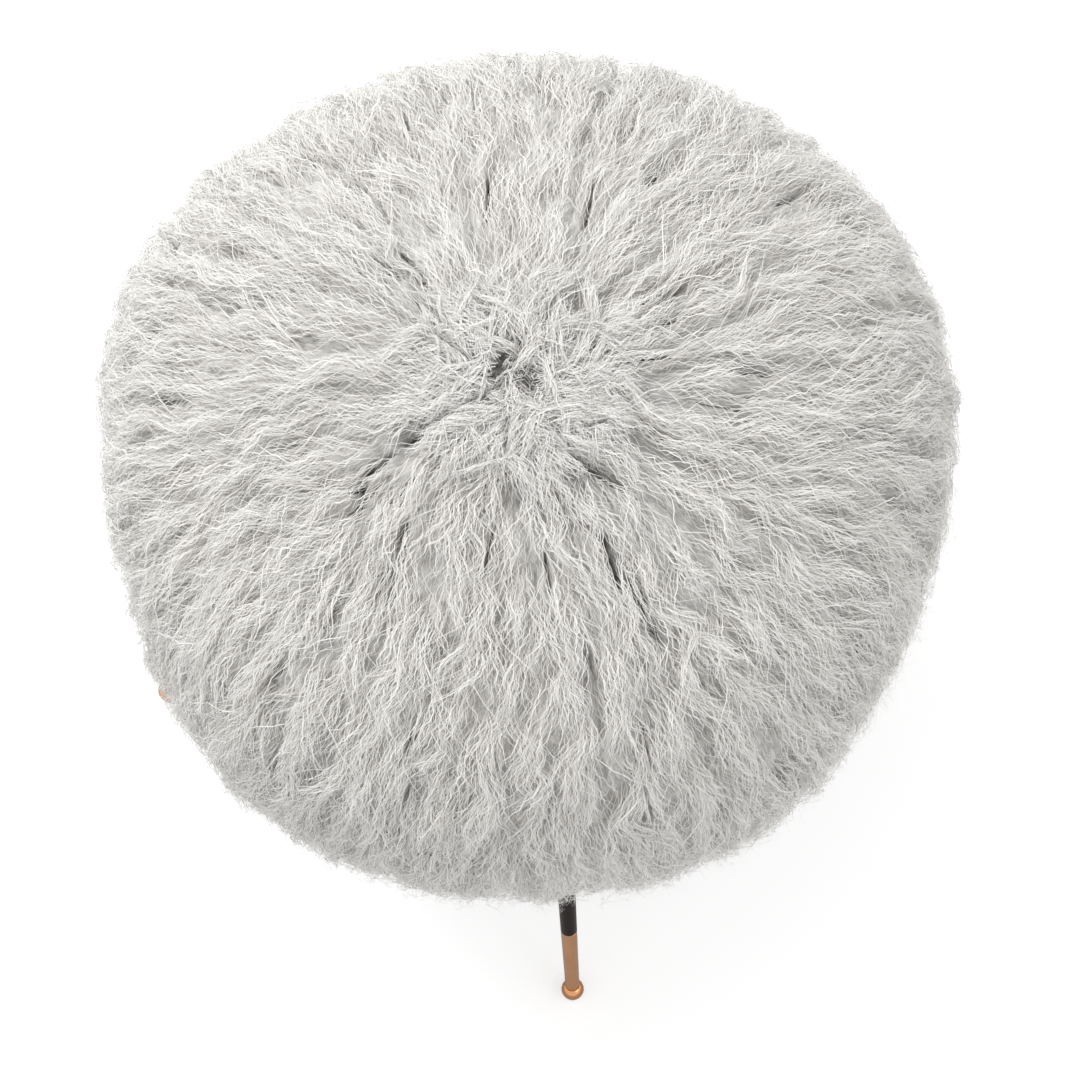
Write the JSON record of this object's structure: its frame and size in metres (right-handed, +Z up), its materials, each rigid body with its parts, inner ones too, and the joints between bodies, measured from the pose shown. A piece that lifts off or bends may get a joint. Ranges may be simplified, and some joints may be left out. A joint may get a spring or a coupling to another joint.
{
  "type": "furry stool",
  "caption": "Round stool: a padded seat covered in long wavy off-white fur, on slim splayed black legs with copper ferrules and ball feet.",
  "frame": {"origin": "on the floor, under the middle of the seat", "axes": "+Z up; the front leg stands towards -Y and the right leg towards +X"},
  "size_m": [0.48, 0.48, 0.48],
  "materials": {
    "plywood": "birch plywood, sawn edge",
    "foam": "open-cell upholstery foam",
    "wadding": "polyester wadding",
    "lining_cloth": "woven cotton lining",
    "sheep_leather": "tanned sheepskin, suede side in",
    "long_fur": "long wavy off-white wool",
    "dust_cloth": "black non-woven cloth",
    "zinc_steel": "zinc-plated steel",
    "black_steel": "black satin enamel",
    "copper": "polished copper plate",
    "black_rubber": "matte rubber"
  },
  "bodies": {
    "stool": {"seat_board": "plywood", "foam_core": "foam", "foam_crown": "foam", "wadding_wrap": "wadding", "lining_cover": "lining_cloth", "sheepskin_hide": "sheep_leather", "fur_pile": "long_fur", "dust_cover": "dust_cloth", "cover_staples": "zinc_steel", "hide_staples": "zinc_steel", "plate_screws": "zinc_steel", "front_leg_plate": "black_steel", "front_leg_stud": "zinc_steel", "front_leg_rod": "black_steel", "front_ferrule": "copper", "right_leg_plate": "black_steel", "right_leg_stud": "zinc_steel", "right_leg_rod": "black_steel", "right_ferrule": "copper", "back_leg_plate": "black_steel", "back_leg_stud": "zinc_steel", "back_leg_rod": "black_steel", "back_ferrule": "copper", "left_leg_plate": "black_steel", "left_leg_stud": "zinc_steel", "left_leg_rod": "black_steel", "left_ferrule": "copper"},
    "front_foot": {"front_foot_stud": "zinc_steel", "front_ball_foot": "copper", "front_glide_pad": "black_rubber"},
    "right_foot": {"right_foot_stud": "zinc_steel", "right_ball_foot": "copper", "right_glide_pad": "black_rubber"},
    "back_foot": {"back_foot_stud": "zinc_steel", "back_ball_foot": "copper", "back_glide_pad": "black_rubber"},
    "left_foot": {"left_foot_stud": "zinc_steel", "left_ball_foot": "copper", "left_glide_pad": "black_rubber"}
  },
  "joints": [
    {"name": "front_foot_level", "type": "slide", "parent": "stool", "child": "front_foot", "axis": [0, -0.2504, -0.9682], "range_m": [0, 0.006]},
    {"name": "right_foot_level", "type": "slide", "parent": "stool", "child": "right_foot", "axis": [0.2504, 0, -0.9682], "range_m": [0, 0.006]},
    {"name": "back_foot_level", "type": "slide", "parent": "stool", "child": "back_foot", "axis": [0, 0.2504, -0.9682], "range_m": [0, 0.006]},
    {"name": "left_foot_level", "type": "slide", "parent": "stool", "child": "left_foot", "axis": [-0.2504, 0, -0.9682], "range_m": [0, 0.006]}
  ]
}
